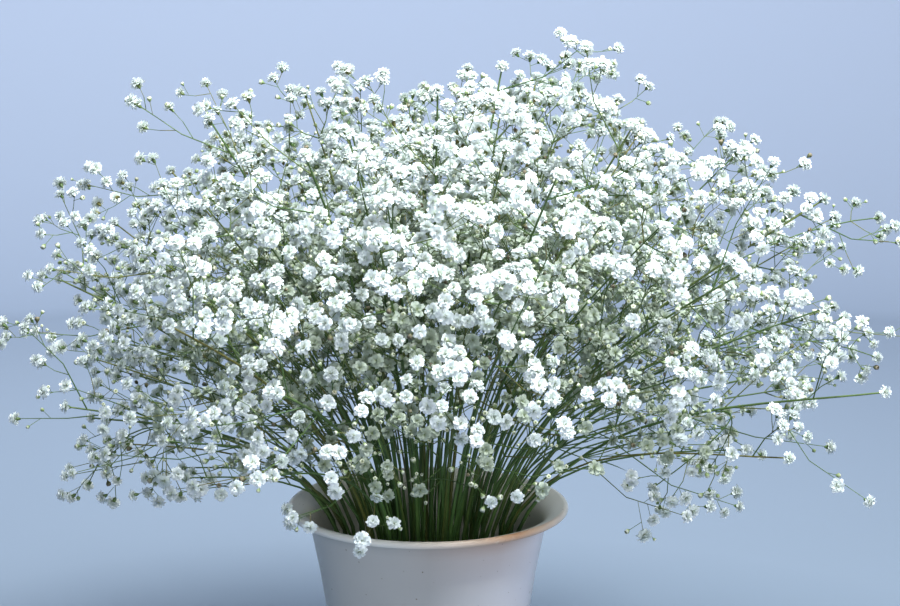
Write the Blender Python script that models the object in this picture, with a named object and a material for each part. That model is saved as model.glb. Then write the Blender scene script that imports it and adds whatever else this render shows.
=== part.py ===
"""A florist's bucket of cut gypsophila: branching stems with small double white flowers, standing in water.

Metres, +Z up. The origin is the middle of the bucket's underside, and the flowers' best side faces -Y.
Each stem is one body with its branches, pedicels and flowers. A branch grows only where it stays clear of every
other stem, and of the ways open to it, it takes the one with the most room at its tip.
"""

import collections
import math
import random

import bmesh
import bpy
import numpy as np

# The bucket: a tapered wall, then a quarter-round flare out to a thick lip.
BUCKET_HEIGHT = 0.220
LIP_RADIUS = 0.100
FLARE = 0.018
BASE_RADIUS = 0.050
WALL = 0.0022
FLOOR = 0.003
BASE_ROUND = 0.003
LIP_THICK = 0.0032
BUCKET_SIDES = 36
FLARE_STEPS = 3

# The water, and the clear space round each stem that stands in it.
WATER_LEVEL = 0.085
GAP = 0.0003
HOLE_CLEARANCE = 0.0004

# The stems. Shares count from the axis out to the rim.
STEMS = 31
FOOT_SPREAD = 0.038
NECK_SPREAD = 0.072
TWIST = math.radians(24)
FOOT_THICK = 0.0017
TIP_THICK = 0.0006
STEM_SIDES = 5
ARCH_STEPS = 4
LEAVING_LEAN = 0.5
ARRIVING_LEAN = 1.1
LEAVING_PULL = 0.4
ARRIVING_PULL = 0.3

# The dome that the flowers make, measured from the middle of the rim.
TOP_REACH = 0.312
SIDE_REACH = 0.312
DEPTH_REACH = 0.272
RIGHT_MORE = 0.026
SHOULDER = 0.15
SIDE_LEAN = math.radians(81)
FRONT_LEAN = math.radians(63)
BACK_LEAN = math.radians(74)
STEM_REACH = (0.84, 0.99)
FLOWER_REACH = 1.04
LOWEST_FLOWER = 0.006

# The branches of one stem, each with a flower at its end. The lowest ones also have a pedicel with a flower. Shares
# count along the parent, for the first branch and the last.
BRANCHES = 8
BRANCH_SHARES = (0.27, 0.93)
BRANCH_LONG = 0.120
BRANCH_SHORT = 0.085
BRANCH_ANGLE = math.radians(50)
BRANCH_BEND = 0.66
BRANCH_VARIES = 0.1
BRANCH_PLACE_VARIES = 0.02
BRANCH_THICK = 0.0008
TWIG_TIP_THICK = 0.0006
PEDICELS = 2
PEDICEL_SHARE = 0.6
PEDICEL_LENGTH = 0.022
PEDICEL_VARIES = 0.16
PEDICEL_ANGLE = math.radians(46)
PEDICEL_THICK = 0.0003
TWIG_SIDES = 3

# A narrow leaf under each stem's lowest branch. Its width and thickness are half sizes.
LEAF_LENGTH = 0.036
LEAF_WIDE = 0.0018
LEAF_THICK = 0.00045
LEAF_ANGLE = math.radians(40)
LEAF_BEND = 1.5
LEAF_CORNERS = 3
LEAF_ROOT = 0.5

# A flower: a rosette over a narrow cup.
FLOWER_RADIUS = 0.0047
FLOWER_VARIES = 0.12
FLOWER_CORNERS = 5
FRILL = 0.14
CUP_DEPTH = 0.75
CROWN = 0.7

# How far each stem keeps from the others, and the ways that a twig tries.
CLEAR = 0.0009
TRIES = 24
TRY_SHORTER = 0.3
TRY_ANGLE_VARIES = 0.3
SEED = 20

GOLDEN_ANGLE = math.pi * (3 - math.sqrt(5))
UP = np.array([0.0, 0.0, 1.0])
RIM_CENTRE = UP * BUCKET_HEIGHT
NECK_HEIGHT = BUCKET_HEIGHT - FLARE
NECK_RADIUS = LIP_RADIUS - FLARE

# A stalk is a run of points with its thickness at both ends, and the radius of its flower. A plant's first stalk
# is its stem, and its leaves are runs of points.
Stalk = collections.namedtuple("Stalk", "points thick tip_thick flower")
Plant = collections.namedtuple("Plant", "stalks leaves")


def blend(start, end, share):
    return start + (end - start) * share


def unit(vector):
    return vector / np.linalg.norm(vector)


def across(direction, turn):
    """A unit vector at right angles to direction, turned about it from the one that points most upward."""
    side = UP if abs(direction[2]) < 0.95 else np.array([1.0, 0.0, 0.0])
    first = unit(side - direction * (side @ direction))
    return first * math.cos(turn) + np.cross(direction, first) * math.sin(turn)


def tilted(direction, angle, turn):
    """The unit vector at this angle from direction, on the side that turn gives."""
    return unit(direction * math.cos(angle) + across(direction, turn) * math.sin(angle))


def point_along(points, share):
    """The point at this share of a run's length, and the direction there."""
    steps = np.diff(points, axis=0)
    lengths = np.linalg.norm(steps, axis=1)
    left = share * lengths.sum()
    for start, step, length in zip(points, steps, lengths):
        if left <= length:
            break
        left -= length
    return start + step * min(left / length, 1.0), step / length


class Space:
    """The capsules that the plants and the rim fill, each with the number of its owner."""

    def __init__(self):
        self.starts, self.ends = np.empty((0, 3)), np.empty((0, 3))
        self.radii, self.owners = np.empty(0), np.empty(0, int)

    def fill(self, points, radius, owner):
        """Takes the run of points, as thick as radius."""
        starts, ends = (points[:-1], points[1:]) if len(points) > 1 else (points, points)
        self.starts = np.vstack([self.starts, starts])
        self.ends = np.vstack([self.ends, ends])
        self.radii = np.append(self.radii, np.full(len(starts), radius))
        self.owners = np.append(self.owners, np.full(len(starts), owner))

    def gaps(self, start, end):
        """How far the surface of each capsule is from the line between start and end."""
        along, runs, apart = end - start, self.ends - self.starts, start - self.starts
        own, theirs = max(along @ along, 1e-12), np.maximum((runs * runs).sum(1), 1e-12)
        both, near, far = runs @ along, apart @ along, (runs * apart).sum(1)
        crossing = np.maximum(own * theirs - both * both, 1e-18)
        here = np.clip((both * far - near * theirs) / crossing, 0, 1)
        there = np.clip((both * here + far) / theirs, 0, 1)
        here = np.clip((both * there - near) / own, 0, 1)
        between = apart + here[:, None] * along - there[:, None] * runs
        return np.linalg.norm(between, axis=1) - self.radii

    def is_clear(self, start, end, radius, owner):
        """True if nothing of another owner comes near the capsule from start to end."""
        return bool((self.gaps(start, end)[self.owners != owner] > radius + CLEAR).all())


def widest_lean(azimuth):
    """How far from upright the outermost stems point: far to the sides, less to the front and the back."""
    depth_lean = FRONT_LEAN if math.sin(azimuth) < 0 else BACK_LEAN
    return blend(depth_lean, SIDE_LEAN, math.cos(azimuth) ** 2)


def reach(lean, azimuth):
    """The dome's radius in a direction from the middle of the rim."""
    level = blend(DEPTH_REACH, SIDE_REACH, math.cos(azimuth) ** 2) + RIGHT_MORE * math.cos(azimuth)
    return blend(TOP_REACH, level, math.sin(lean)) * (1 + SHOULDER * math.sin(2 * lean) ** 2)


def leaned(outward, lean):
    """The unit vector that leans outward from upright by this angle."""
    return outward * math.sin(lean) + UP * math.cos(lean)


def within_dome(point):
    """True if a flower may stand here: inside the dome, and above the lip."""
    x, y, z = point - RIM_CENTRE
    lean, azimuth = math.atan2(math.hypot(x, y), z), math.atan2(y, x)
    return z > LOWEST_FLOWER and math.hypot(x, y, z) < FLOWER_REACH * reach(lean, azimuth)


def arch(foot, neck, end, steps):
    """The points of the curve from the neck of the bucket out to the end of a stem."""
    toward = unit(end - RIM_CENTRE)
    lean, azimuth = math.acos(toward[2]), math.atan2(toward[1], toward[0])
    outward = np.array([math.cos(azimuth), math.sin(azimuth), 0.0])
    chord = np.linalg.norm(end - neck)
    leaving = unit(leaned(outward, lean * LEAVING_LEAN) + unit(neck - foot))
    first = neck + leaving * chord * LEAVING_PULL
    second = end - leaned(outward, lean * ARRIVING_LEAN) * chord * ARRIVING_PULL
    return [
        neck * (1 - t) ** 3 + first * 3 * t * (1 - t) ** 2 + second * 3 * t**2 * (1 - t) + end * t**3
        for t in (step / steps for step in range(1, steps + 1))
    ]


def stem_run(number, rng):
    """A stem's points: straight from the bucket's floor to its neck, then an arch out to the dome."""
    share = math.sqrt((number + 0.5) / STEMS)
    azimuth = number * GOLDEN_ANGLE
    lean = math.acos(1 - share**2 * (1 - math.cos(widest_lean(azimuth))))
    outward = np.array([math.cos(azimuth), math.sin(azimuth), 0.0])
    foot_outward = np.array([math.cos(azimuth - TWIST), math.sin(azimuth - TWIST), 0.0])
    foot = foot_outward * FOOT_SPREAD * share + UP * (FLOOR + GAP)
    neck = outward * NECK_SPREAD * share + UP * NECK_HEIGHT
    end = RIM_CENTRE + leaned(outward, lean) * reach(lean, azimuth) * rng.uniform(*STEM_REACH)
    return np.array([foot, neck, *arch(foot, neck, end, ARCH_STEPS)])


def varied(amount, rng):
    """A factor that is at most this amount away from 1."""
    return 1 + rng.uniform(-amount, amount)


def is_free(points, thick, tip, owner, space):
    """True if a twig as thick as this, with a tip of this radius, stays in the dome and clear of other stems."""
    if not within_dome(points[-1]) or not space.is_clear(points[-1], points[-1], tip, owner):
        return False
    return all(space.is_clear(a, b, thick, owner) for a, b in zip(points, points[1:]))


def roomiest(runs, thick, tip, owner, space):
    """Of the runs of points that are free, the one with the most room at its tip, which the space then holds."""
    free = [points for points in runs if is_free(points, thick, tip, owner, space)]
    if not free:
        return None
    best = max(free, key=lambda points: space.gaps(points[-1], points[-1]).min())
    space.fill(best, thick, owner)
    space.fill(best[-1:], tip, owner)
    return best


def twig_runs(start, along, turn, length, angle, bend, rng):
    """Ways for a twig to leave its parent, all round it: two steps, the second at bend times the first one's angle."""
    for attempt in range(TRIES):
        way, lean = turn + attempt * GOLDEN_ANGLE, angle * varied(TRY_ANGLE_VARIES, rng)
        step = length * (1 - rng.uniform(0, TRY_SHORTER)) / 2
        middle = start + tilted(along, lean, way) * step
        yield np.array([start, middle, middle + tilted(along, lean * bend, way) * step])


def grow_branch(plant, owner, order, rng, space):
    """Grows one branch of a plant, with a pedicel if it's a low one, and with a leaf under the lowest."""
    stem, height = plant.stalks[0].points[1:], order / (BRANCHES - 1)
    place = blend(*BRANCH_SHARES, height) + rng.uniform(-BRANCH_PLACE_VARIES, BRANCH_PLACE_VARIES)
    start, along = point_along(stem, place)
    turn = owner + order * GOLDEN_ANGLE
    length = blend(BRANCH_LONG, BRANCH_SHORT, height) * varied(BRANCH_VARIES, rng)
    flower = FLOWER_RADIUS * varied(FLOWER_VARIES, rng)
    runs = twig_runs(start, along, turn, length, BRANCH_ANGLE, BRANCH_BEND, rng)
    branch = roomiest(runs, BRANCH_THICK, flower, owner, space)
    if order == 0:
        runs = twig_runs(start, along, turn + math.pi, LEAF_LENGTH, LEAF_ANGLE, LEAF_BEND, rng)
        leaf = roomiest(runs, LEAF_WIDE, LEAF_THICK, owner, space)
        plant.leaves.extend([] if leaf is None else [leaf])
    if branch is None:
        return
    plant.stalks.append(Stalk(branch, BRANCH_THICK, TWIG_TIP_THICK, flower))
    if order < PEDICELS:
        start, along = point_along(branch, PEDICEL_SHARE)
        length, flower = PEDICEL_LENGTH * varied(PEDICEL_VARIES, rng), FLOWER_RADIUS * varied(FLOWER_VARIES, rng)
        runs = twig_runs(start, along, turn, length, PEDICEL_ANGLE, 1.0, rng)
        pedicel = roomiest(runs, PEDICEL_THICK, flower, owner, space)
        if pedicel is not None:
            plant.stalks.append(Stalk(pedicel[::2], PEDICEL_THICK, TWIG_TIP_THICK, flower))


def grow_bunch():
    """Every plant of the bunch, each clear of the others and of the lip."""
    space = Space()
    rim = [i * math.tau / BUCKET_SIDES for i in range(BUCKET_SIDES + 1)]
    space.fill(np.array([[math.cos(a), math.sin(a), 0.0] for a in rim]) * LIP_RADIUS + RIM_CENTRE, LIP_THICK, -1)
    bunch, rngs = [], [random.Random(SEED + number) for number in range(STEMS)]
    for number, rng in enumerate(rngs):
        points, flower = stem_run(number, rng), FLOWER_RADIUS * varied(FLOWER_VARIES, rng)
        bunch.append(Plant([Stalk(points, FOOT_THICK, TIP_THICK, flower)], []))
        space.fill(points, FOOT_THICK, number)
        space.fill(points[-1:], flower, number)
    for order in range(BRANCHES):
        for number, rng in enumerate(rngs):
            grow_branch(bunch[number], number, order, rng, space)
    return bunch


def cross_frames(points):
    """Two unit vectors across the run at each of its points, carried along it without a twist."""
    steps = np.diff(points, axis=0)
    steps /= np.linalg.norm(steps, axis=1)[:, None]
    alongs = [steps[0], *(unit(a + b) for a, b in zip(steps, steps[1:])), steps[-1]]
    side, frames = across(alongs[0], 0.0), []
    for along in alongs:
        side = unit(side - along * (side @ along))
        frames.append((side, np.cross(along, side)))
    return frames, alongs


def ring(mesh, centre, frame, radius, corners, rises=None):
    """A ring of vertices round a centre, with its corners raised along the run where rises says so."""
    made = []
    for corner in range(corners):
        angle = corner * math.tau / corners
        offset = (frame[0] * math.cos(angle) + frame[1] * math.sin(angle)) * radius
        made.append(mesh.verts.new(centre + offset + (rises[corner] if rises else 0.0)))
    return made


def bridge(mesh, low, high):
    """Faces between two rings, which may differ in their number of corners."""
    i = j = 0
    while i < len(low) or j < len(high):
        if j * len(low) <= i * len(high) and j < len(high):
            mesh.faces.new([low[i % len(low)], high[(j + 1) % len(high)], high[j % len(high)]])
            j += 1
        else:
            mesh.faces.new([low[i % len(low)], low[(i + 1) % len(low)], high[j % len(high)]])
            i += 1


def tube(mesh, points, thicks, sides):
    """The open side wall of a tube through the points: its last ring, the frame across it, and its direction."""
    frames, alongs = cross_frames(points)
    rings = [ring(mesh, *place, sides) for place in zip(points, frames, thicks)]
    for low, high in zip(rings, rings[1:]):
        bridge(mesh, low, high)
    mesh.faces.new(rings[0][::-1])
    return rings[-1], frames[-1], alongs[-1]


def add_stalk(name, stalk, sides, collection=None):
    """One closed body: a tapered tube, which widens into the cup and the frilled rosette of its flower."""
    mesh = bmesh.new()
    lengths = np.append(0, np.cumsum(np.linalg.norm(np.diff(stalk.points, axis=0), axis=1)))
    thicks = blend(stalk.thick, stalk.tip_thick, lengths / lengths[-1])
    points, centre = stalk.points.copy(), stalk.points[-1]
    points[-1] -= unit(centre - stalk.points[-2]) * stalk.flower * CUP_DEPTH
    neck, frame, along = tube(mesh, points, thicks, sides)
    frill = [along * stalk.flower * FRILL * (-1) ** corner for corner in range(FLOWER_CORNERS)]
    petals = ring(mesh, centre, frame, stalk.flower, FLOWER_CORNERS, frill)
    bridge(mesh, neck, petals)
    crown = mesh.verts.new(centre + along * stalk.flower * CROWN)
    for corner in range(FLOWER_CORNERS):
        mesh.faces.new([petals[corner], petals[(corner + 1) % FLOWER_CORNERS], crown])
    bmesh.ops.recalc_face_normals(mesh, faces=mesh.faces)
    return add_object(name, mesh, collection)


def add_leaf(name, points, collection):
    """One closed body: a blade that is widest halfway, from its root to its point."""
    frames, _ = cross_frames(points)
    mesh = bmesh.new()
    root, middle = (
        ring(mesh, point, (frame[0] * LEAF_THICK, frame[1] * LEAF_WIDE * wide), 1.0, LEAF_CORNERS)
        for point, frame, wide in zip(points, frames, (LEAF_ROOT, 1.0))
    )
    bridge(mesh, root, middle)
    mesh.faces.new(root[::-1])
    tip = mesh.verts.new(points[-1])
    for corner in range(LEAF_CORNERS):
        mesh.faces.new([middle[corner], middle[(corner + 1) % LEAF_CORNERS], tip])
    bmesh.ops.recalc_face_normals(mesh, faces=mesh.faces)
    return add_object(name, mesh, collection)


def add_object(name, mesh, collection=None):
    data = bpy.data.meshes.new(name)
    mesh.to_mesh(data)
    mesh.free()
    made = bpy.data.objects.new(name, data)
    (collection or bpy.context.scene.collection).objects.link(made)
    return made


def apply_boolean(target, operation, solver, collection):
    """Joins or cuts target with every object of the collection, and then removes them."""
    modifier = target.modifiers.new("fuse", "BOOLEAN")
    modifier.operation = operation
    modifier.operand_type = "COLLECTION"
    modifier.collection = collection
    modifier.solver = solver
    graph = bpy.context.evaluated_depsgraph_get()
    fused = bpy.data.meshes.new_from_object(target.evaluated_get(graph))
    target.modifiers.clear()
    target.data = fused
    for used in list(collection.objects):
        bpy.data.objects.remove(used)
    bpy.data.collections.remove(collection)


def new_collection(name):
    made = bpy.data.collections.new(name)
    bpy.context.scene.collection.children.link(made)
    return made


def add_plant(number, plant):
    """One stem with its branches, pedicels, flowers and leaf, fused into one body."""
    twigs = new_collection(f"twigs_{number:02d}")
    stem = add_stalk(f"gypsophila_stem_{number + 1:02d}", plant.stalks[0], STEM_SIDES)
    for order, stalk in enumerate(plant.stalks[1:]):
        add_stalk(f"twig_{number:02d}_{order:02d}", stalk, TWIG_SIDES, twigs)
    for points in plant.leaves:
        add_leaf(f"leaf_{number:02d}", points, twigs)
    apply_boolean(stem, "UNION", "MANIFOLD", twigs)
    return stem


def wall_radius(height, inset):
    """The bucket's radius at a height of its tapered wall, less inset."""
    return blend(BASE_RADIUS, NECK_RADIUS, height / NECK_HEIGHT) - inset


def turned(name, profile):
    """A body turned about Z from (radius, height) pairs that run down its outside from the axis to the axis."""
    mesh = bmesh.new()
    verts = [mesh.verts.new((radius, 0.0, height)) for radius, height in profile]
    edges = [mesh.edges.new(pair) for pair in zip(verts, verts[1:])]
    bmesh.ops.spin(
        mesh,
        geom=verts + edges,
        cent=(0, 0, 0),
        axis=(0, 0, 1),
        angle=math.tau,
        steps=BUCKET_SIDES,
        use_merge=True,
    )
    bmesh.ops.remove_doubles(mesh, verts=mesh.verts, dist=1e-6)
    bmesh.ops.recalc_face_normals(mesh, faces=mesh.faces)
    made = add_object(name, mesh)
    made.data.shade_smooth()
    made.data.set_sharp_from_angle(angle=math.radians(40))
    return made


def flare_arc(radius):
    """The flare as an arc of this radius about its outer centre, from the neck up and out to the lip."""
    angles = [step * math.pi / 2 / FLARE_STEPS for step in range(FLARE_STEPS + 1)]
    return [(LIP_RADIUS - radius * math.cos(a), NECK_HEIGHT + radius * math.sin(a)) for a in angles]


def add_bucket():
    inside = flare_arc(FLARE + WALL * 0.5)
    outside = flare_arc(FLARE - WALL * 0.5)
    lip_top = (LIP_RADIUS, BUCKET_HEIGHT + WALL * 0.5)
    lip_low = (LIP_RADIUS, BUCKET_HEIGHT + WALL * 0.5 - LIP_THICK)
    profile = [
        (0.0, FLOOR),
        (wall_radius(FLOOR, WALL), FLOOR),
        *inside[:-1],
        lip_top,
        lip_low,
        *outside[:-1][::-1],
        (wall_radius(BASE_ROUND, 0.0), BASE_ROUND),
        (BASE_RADIUS - BASE_ROUND, 0.0),
        (0.0, 0.0),
    ]
    return turned("bucket", profile)


def add_water(bunch):
    """The water, with a plain hole for each stem that stands in it."""
    low, high = FLOOR + GAP, WATER_LEVEL
    profile = [
        (0.0, high),
        (wall_radius(high, WALL + GAP), high),
        (wall_radius(low, WALL + GAP), low),
        (0.0, low),
    ]
    water = turned("water", profile)
    holes = new_collection("holes")
    for number, plant in enumerate(bunch):
        add_hole(f"hole_{number:02d}", plant.stalks[0], holes)
    apply_boolean(water, "DIFFERENCE", "EXACT", holes)
    return water


def add_hole(name, stem, collection):
    """A cutter as wide as the stem's foot and the clearance round it, from below the water to the neck."""
    foot, neck = stem.points[:2]
    below = foot + unit(foot - neck) * FLOOR
    wide = (stem.thick + HOLE_CLEARANCE) / math.cos(math.pi / STEM_SIDES)
    mesh = bmesh.new()
    end, _, _ = tube(mesh, np.array([below, neck]), (wide, wide), STEM_SIDES)
    mesh.faces.new(end)
    bmesh.ops.recalc_face_normals(mesh, faces=mesh.faces)
    add_object(name, mesh, collection)


def material(name, colour, roughness):
    made = bpy.data.materials.new(name)
    made.use_nodes = True
    shader = made.node_tree.nodes["Principled BSDF"]
    shader.inputs["Base Color"].default_value = (*colour, 1.0)
    shader.inputs["Roughness"].default_value = roughness
    shader.inputs["Metallic"].default_value = 0.0
    return made


def main():
    for old in list(bpy.data.objects):
        bpy.data.objects.remove(old)
    bunch = grow_bunch()
    add_bucket().data.materials.append(material("bucket_plastic", (0.80, 0.79, 0.78), 0.38))
    add_water(bunch).data.materials.append(material("water", (0.78, 0.85, 0.86), 0.05))
    blossom = material("blossom", (0.90, 0.92, 0.90), 0.7)
    for number, plant in enumerate(bunch):
        stem = add_plant(number, plant)
        stem.data.materials.clear()
        stem.data.materials.append(blossom)


main()
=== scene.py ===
"""A bucket of gypsophila: fine stems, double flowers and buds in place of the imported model's plain ones.

Metres, +Z up. The bunch grows in two passes. The first repeats the part's own rule, draw by draw, so every
stem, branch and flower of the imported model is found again. The second adds to each stem its side shoots, its
finer branches and the rest of its flowers and buds.
"""

import collections
import math
import random

import bpy
import numpy as np
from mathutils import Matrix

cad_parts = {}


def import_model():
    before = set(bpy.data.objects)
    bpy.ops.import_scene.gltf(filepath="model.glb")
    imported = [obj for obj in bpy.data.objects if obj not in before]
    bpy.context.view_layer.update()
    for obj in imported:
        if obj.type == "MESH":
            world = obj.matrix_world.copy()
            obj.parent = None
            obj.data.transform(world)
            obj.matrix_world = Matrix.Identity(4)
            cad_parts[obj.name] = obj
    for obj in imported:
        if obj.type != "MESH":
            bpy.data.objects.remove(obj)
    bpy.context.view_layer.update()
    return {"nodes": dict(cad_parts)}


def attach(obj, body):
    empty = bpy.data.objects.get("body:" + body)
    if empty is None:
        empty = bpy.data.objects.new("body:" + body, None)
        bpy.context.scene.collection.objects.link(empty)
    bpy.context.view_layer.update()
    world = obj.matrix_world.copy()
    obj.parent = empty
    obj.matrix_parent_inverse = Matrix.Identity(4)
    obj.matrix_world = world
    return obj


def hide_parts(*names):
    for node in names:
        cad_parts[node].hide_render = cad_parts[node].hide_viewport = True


# The camera, level with the middle of the flowers and tipped down a little.
CAMERA_PLACE = (0.0157, -1.2110, 0.5610)
CAMERA_DOWN = math.radians(9.2)
LENS = 70.0

# The floor turns up into a wall all round, far from the bucket.
FLOOR_RADIUS = 2.2
NEAR_RADIUS = FLOOR_RADIUS * 0.3
BOWL = 1.6
BOWL_STEPS = 16
FLOOR_SIDES = 96
FLOOR_FADE = 0.7

# The lights, as (name, place, target, size, power, colour), and the world.
LIGHTS = (
    ("key", (0.32, -0.52, 1.42), (0.03, 0, 0.42), 0.45, 38, (0.94, 1.0, 0.99)),
    ("fill", (0.60, -1.80, 0.45), (0, 0, 0.25), 0.8, 12, (0.97, 0.98, 1.0)),
    ("wall", (-0.25, 0.7, 2.0), (-0.15, 3.4, 0.3), 1.6, 61, (0.9, 0.95, 1.0)),
)
WORLD_COLOUR = (0.80, 0.87, 1.0, 1.0)
WORLD_STRENGTH = 0.19

# The bucket, as in the part.
BUCKET_HEIGHT = 0.220
LIP_RADIUS = 0.100
FLARE = 0.018
BASE_RADIUS = 0.050
WALL = 0.0022
FLOOR = 0.003
BASE_ROUND = 0.003
LIP_THICK = 0.0032
BUCKET_SIDES = 36
GAP = 0.0003

# The look of the bucket: its rolled lip, painted shade on the side of its wall away from the light, a beige
# tint inside and on the lip, and a stain under the lip.
SHELL_SIDES = 96
LIP_ROLL = 0.0025
FLARE_STEPS = 8
WALL_STEPS = 7
SHARP_ANGLE = math.radians(50)
WALL_SHADE_AND_TINT = 0.85
LIP_TINT = 1.0
LIT_SIDE_TURN = math.radians(-25)
STAIN_TURN = math.radians(-54)
STAIN_SPREAD = math.radians(52)
STAIN_DROP = 0.026

# The stems, as in the part. Shares count from the axis out to the rim.
STEMS = 31
FOOT_SPREAD = 0.038
NECK_SPREAD = 0.072
TWIST = math.radians(24)
FOOT_THICK = 0.0017
TIP_THICK = 0.0006
ARCH_STEPS = 4
LEAVING_LEAN = 0.5
ARRIVING_LEAN = 1.1
LEAVING_PULL = 0.4
ARRIVING_PULL = 0.3

# The dome, as in the part, measured from the middle of the rim.
TOP_REACH = 0.312
SIDE_REACH = 0.312
DEPTH_REACH = 0.272
RIGHT_MORE = 0.026
SHOULDER = 0.15
SIDE_LEAN = math.radians(81)
FRONT_LEAN = math.radians(63)
BACK_LEAN = math.radians(74)
STEM_REACH = (0.84, 0.99)
FLOWER_REACH = 1.04
LOWEST_FLOWER = 0.006

# The branches, as in the part.
BRANCHES = 8
BRANCH_SHARES = (0.27, 0.93)
BRANCH_LONG = 0.120
BRANCH_SHORT = 0.085
BRANCH_ANGLE = math.radians(50)
BRANCH_BEND = 0.66
BRANCH_VARIES = 0.1
BRANCH_PLACE_VARIES = 0.02
BRANCH_THICK = 0.0008
TWIG_TIP_THICK = 0.0006
PEDICELS = 2
PEDICEL_SHARE = 0.6
PEDICEL_LENGTH = 0.022
PEDICEL_VARIES = 0.16
PEDICEL_ANGLE = math.radians(46)
PEDICEL_THICK = 0.0003
LEAF_LENGTH = 0.036
LEAF_WIDE = 0.0018
LEAF_THICK = 0.00045
LEAF_ANGLE = math.radians(40)
LEAF_BEND = 1.5
FLOWER_RADIUS = 0.0047
FLOWER_VARIES = 0.12
CLEAR = 0.0009
TRIES = 24
TRY_SHORTER = 0.3
TRY_ANGLE_VARIES = 0.3
SEED = 20

# The second pass. Side shoots leave each stem inside the bucket, as (turn, spread, share of its reach).
# Pairs of branches leave each shoot and each stem, and shorten from the first length to the second.
SHOOTS = ((0.0, 0.17, 0.97), (2.3, 0.2, 0.84), (4.4, 0.16, 0.68), (1.2, 0.1, 0.54))
SHOOT_TURN_VARIES = 0.5
SPREAD_VARIES = 0.3
SHOOT_HEIGHT = 0.12
SHOOT_HEIGHT_VARIES = 0.04
SHOOT_OFFSET = 0.008
SHOOT_STEPS = 10
SHOOT_LOWEST = 0.02
WIDEST_NECK = 0.0785
SHOOT_THICK = 0.0009
SHOOT_TIP_THICK = 0.0005
SHOOT_SHARES = (0.46, 0.62, 0.77, 0.90)
SHOOT_BRANCHES = (0.06, 0.03)
OPPOSITE_SHARES = (0.48, 0.66, 0.83)
OPPOSITE_BRANCHES = (0.07, 0.035)
PAIR_VARIES = 0.2
PAIR_ANGLE_VARIES = 0.15
FOOT_STEPS = 6
STEM_STEPS = 14

# A branch's own twigs, and the cyme at the end of each twig.
SPRIG_SHARES = (0.38, 0.56, 0.74, 0.90)
SPRIG_LENGTH = 0.026
SPRIG_VARIES = 0.25
SPRIG_BEND = 0.7
SPRIG_ANGLE = math.radians(48)
SPRIG_ANGLE_VARIES = 0.2
SPRIG_THICK = 0.00032
SPRIG_TIP = 0.8
CYME_SHARES = (0.6, 0.85)
CYME_LENGTH = 0.0105
CYME_VARIES = 0.3
CYME_ANGLE = math.radians(52)
CYME_ANGLE_VARIES = 0.2
STALK_THICK = 0.00022
FORK_THICK = 0.0005
FORK_TIP_THICK = 0.0004

# How many sides the tubes have.
STEM_SIDES = 6
SHOOT_SIDES = 5
FORK_SIDES = 4
TWIG_SIDES = 3

# Where the colour of each kind of run starts, between an old stem's 0 and a tip's 1.
SHOOT_YOUNG = 0.2
LEAF_YOUNG = 0.3
STRAY_YOUNG = 0.5
FORK_YOUNG = 0.6
TWIG_YOUNG = 0.8
SPRIG_YOUNG = 0.9

# Where the second pass grows: out to a share of the dome's reach, above a skirt that rises outward from the
# rim, and thinner towards the rim. Twigs end no deeper than DEEPEST. Inside DEEP, flowers are plainer and
# darker with painted shade, the more so low down.
FINE_REACH = 0.98
OWN_REACH = 1.08
SKIRT_RISE = 0.33
SKIRT_LOW = 0.028
FULL_HEIGHT = 0.20
LOW_FULLNESS = 0.12
DEEPEST = 0.55
DEEP = 0.72
DEEPEST_SHADE = 0.24
WHITE_SHADE = 0.26

# Flowers and buds at the end of twigs.
FLOWERS_AT_SIDE = 0.40
BUDS_AT_SIDE = 0.38
BUD_RADIUS = 0.0016
BUD_VARIES = 0.28
FLOWER_APART = 0.0074
FACING_OUT = 0.45

# Thin branches that stray out of the dome or droop below it, as the places of their ends from the middle of
# the rim.
STRAYS = (
    (-0.236, -0.030, 0.022),
    (-0.214, -0.055, 0.050),
    (-0.176, -0.075, 0.036),
    (-0.258, 0.010, 0.166),
    (0.314, 0.000, 0.205),
    (0.314, -0.010, 0.108),
    (0.256, -0.030, 0.078),
    (0.190, -0.070, 0.044),
    (0.150, -0.090, 0.036),
    (0.140, 0.190, 0.045),
    (-0.120, 0.205, 0.040),
)
STRAY_START = 0.62
STRAY_RISE = 0.55
STRAY_SHARES = (0.45, 0.65, 0.85)
STRAY_TWIG = 0.030
STRAY_TWIG_VARIES = 0.35
STRAY_STEPS = 8

# Petals in whorls of (count, tilt from the axis, length, width), with the flower's radius as 1. A flower deep
# inside the bunch has fewer petals. Angles vary in degrees for the tilt, and in radians for the rest.
WHORLS = (
    (7, 112, 0.86, 0.62),
    (9, 91, 1.00, 0.60),
    (8, 71, 1.03, 0.58),
    (7, 51, 1.00, 0.54),
    (5, 31, 0.95, 0.48),
    (3, 12, 0.90, 0.40),
)
DEEP_WHORLS = ((7, 98, 0.98, 0.76), (6, 66, 1.0, 0.70), (3, 26, 0.92, 0.62))
FLOWER_KINDS = 8
CUP_DEPTH = 0.75
OPENED = (0.86, 1.06)
PETAL_SIZES = (0.84, 1.08)
PETAL_TURN_VARIES = 0.22
PETAL_TILT_VARIES = 11
PETAL_SHOULDER = 0.64
PETAL_TIP = 0.29
PETAL_CURL = 20
PETAL_CUP = 0.8
RUFFLE = 0.11
RUFFLED_FROM = 0.6

# A flower's cup and a bud, turned from (radius, height) pairs with the flower's or the bud's radius as 1.
CUP = ((0.09, -0.78), (0.25, -0.5), (0.30, -0.08))
BUD = ((0.15, -1.3), (0.92, -0.2), (0.80, 0.75), (0.18, 0.45))
BUD_SHADES = (0.0, 0.5, 0.85, 1.0)
TIP_SIDES = 5

# A leaf's blade: how far it's folded, how wide it starts, how late it tapers, how full it is, and its least
# width.
LEAF_STEPS = 8
LEAF_KEEL = 0.35
LEAF_FOOT = 0.12
LEAF_TAPER = 2.5
LEAF_FULL = 1.25
LEAF_EDGE = 0.00005

# Turned shapes keep a hole of this radius on their axis, so that no triangle there is empty.
PINHOLE = 0.0005

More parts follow.
